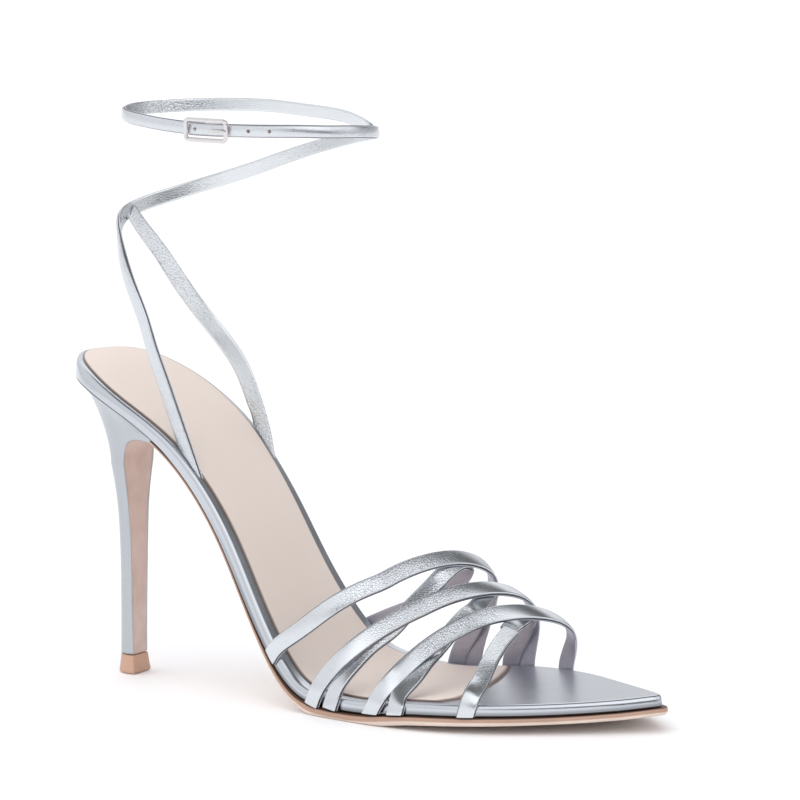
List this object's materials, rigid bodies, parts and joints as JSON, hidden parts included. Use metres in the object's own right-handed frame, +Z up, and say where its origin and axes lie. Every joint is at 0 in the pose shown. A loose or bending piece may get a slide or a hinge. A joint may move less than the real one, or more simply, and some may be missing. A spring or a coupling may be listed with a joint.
{
  "type": "high heel sandal",
  "caption": "Open high heel sandal for the right foot: pointed leather-wrapped footbed on a slim heel, crossed toe straps and a wrapped ankle strap with a wire buckle.",
  "frame": {"origin": "on the floor, under the middle of the shoe's bounding box", "axes": "+X from the heel to the toe, +Y to the inner side of the right foot, +Z up"},
  "size_m": [0.2146, 0.0798, 0.1883],
  "materials": {
    "footbed_leather": "smooth metallic silver leather wrapped round the footbed board",
    "sock_leather": "matte nude lining leather",
    "outsole_leather": "satin nude sole leather with a darker edge",
    "breast_leather": "satin nude sole leather",
    "heel_leather": "smooth pale metallic leather over a moulded heel",
    "top_lift_rubber": "matte tan moulded lift",
    "vamp_leather": "grained metallic silver leather",
    "ankle_leather": "grained metallic silver leather",
    "buckle_metal": "polished wire",
    "prong_metal": "polished wire"
  },
  "bodies": {
    "root": {"footbed": "footbed_leather", "sock": "sock_leather", "outsole": "outsole_leather", "breast_flap": "breast_leather", "heel": "heel_leather", "top_lift": "top_lift_rubber", "vamp_straps": "vamp_leather", "ankle_straps": "ankle_leather", "buckle_frame": "buckle_metal", "buckle_prong": "prong_metal"}
  },
  "joints": []
}
